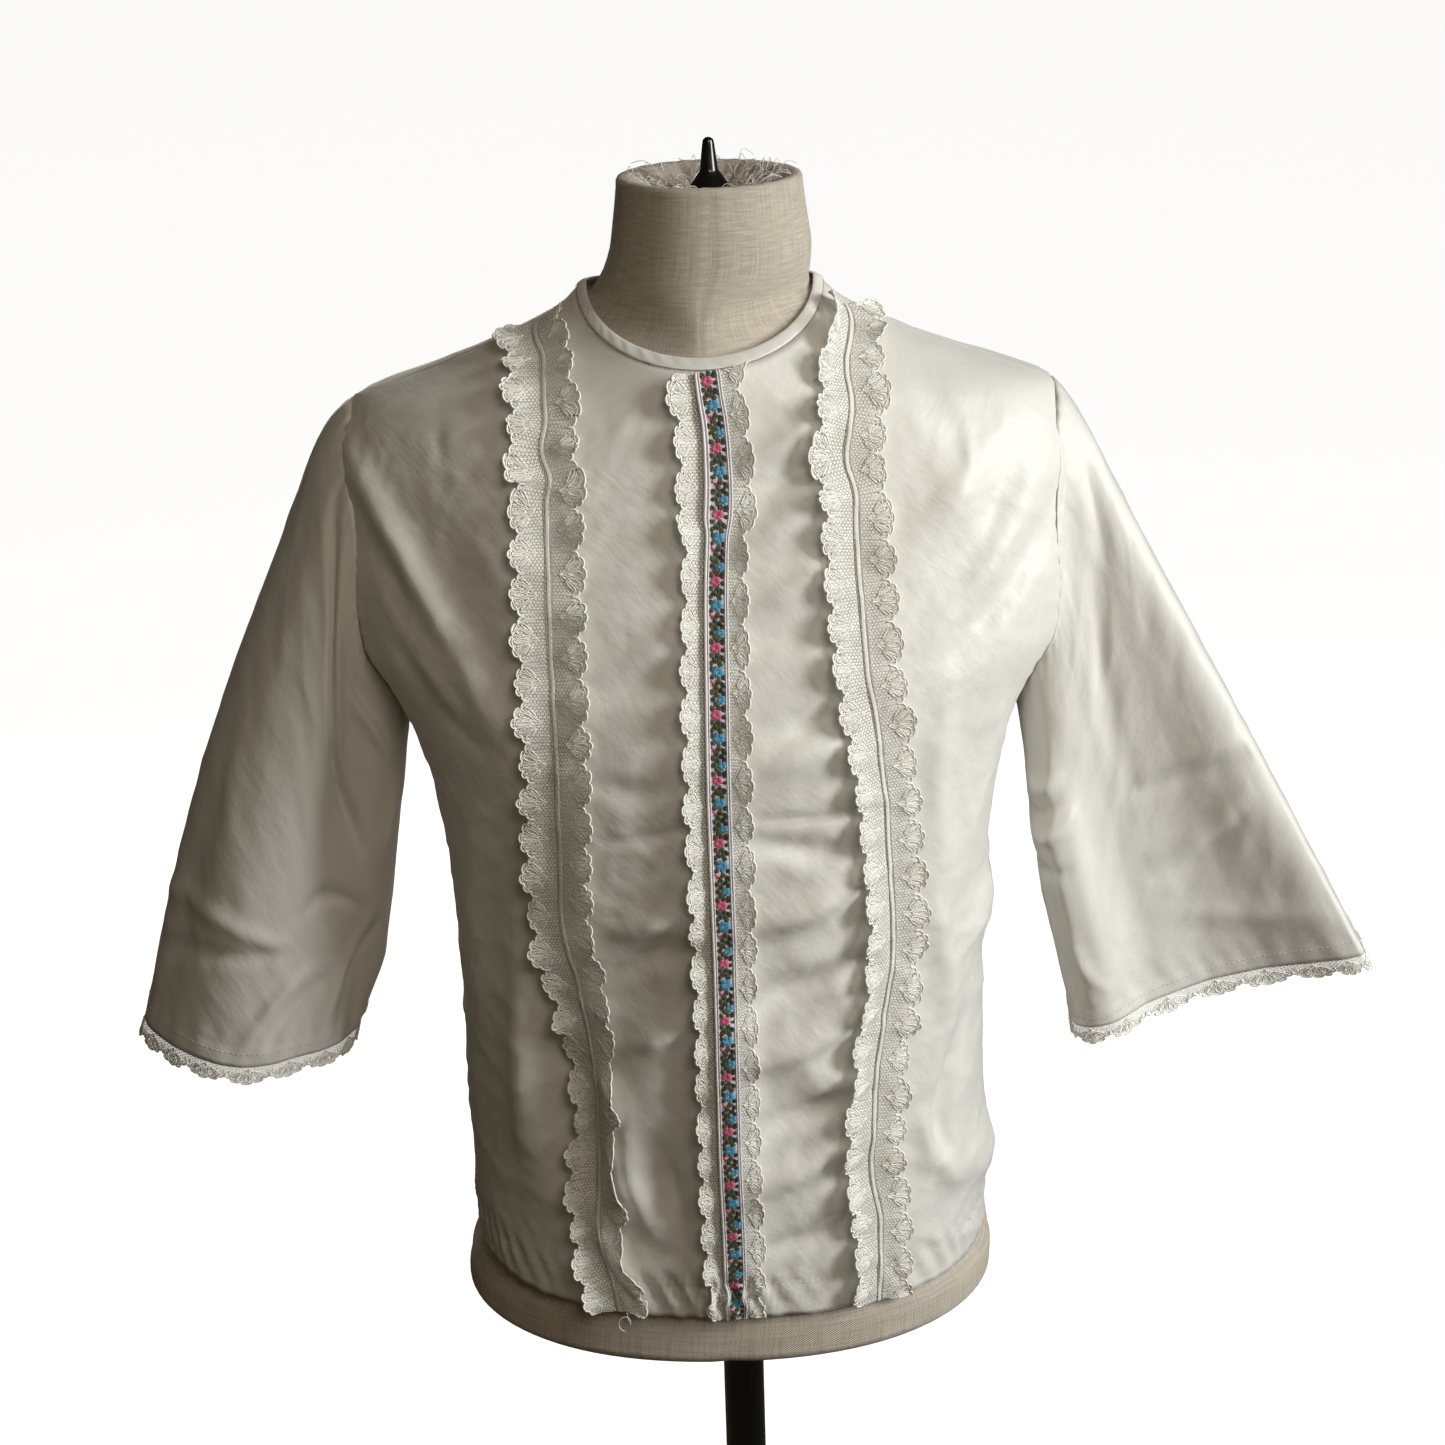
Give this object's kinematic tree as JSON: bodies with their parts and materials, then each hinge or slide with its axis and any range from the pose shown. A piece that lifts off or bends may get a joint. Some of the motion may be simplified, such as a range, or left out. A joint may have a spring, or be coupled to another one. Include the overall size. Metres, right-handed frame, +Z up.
{
  "type": "lace blouse on dress form stand",
  "caption": "Boxy round-neck cotton blouse with flared three-quarter sleeves, scalloped lace trims and a flowered ribbon, worn by a limbless linen dress form on a pole with a round base.",
  "frame": {"origin": "centre of the base's underside on the floor, on the pole's axis", "axes": "+Z up along the pole, -Y towards the blouse's front, +X towards the wearer's left"},
  "size_m": [0.7485, 0.34, 1.16],
  "materials": {
    "cotton": "smooth woven cotton",
    "lace": "machine net lace with corded edges",
    "ribbon": "woven ribbon with embroidered flowers",
    "linen": "coarse natural linen",
    "button": "pearly gloss",
    "black_metal": "black gloss paint"
  },
  "bodies": {
    "root": {"blouse_front": "cotton", "blouse_back_left": "cotton", "blouse_back_right": "cotton", "sleeve_left": "cotton", "sleeve_right": "cotton", "neck_binding": "cotton", "side_lace_left": "lace", "side_lace_right": "lace", "centre_lace": "lace", "cuff_lace_left": "lace", "cuff_lace_right": "lace", "floral_ribbon": "ribbon", "back_button": "button", "form_body": "linen", "neck_spike": "black_metal", "stand_pole": "black_metal", "stand_base": "black_metal"}
  },
  "joints": []
}
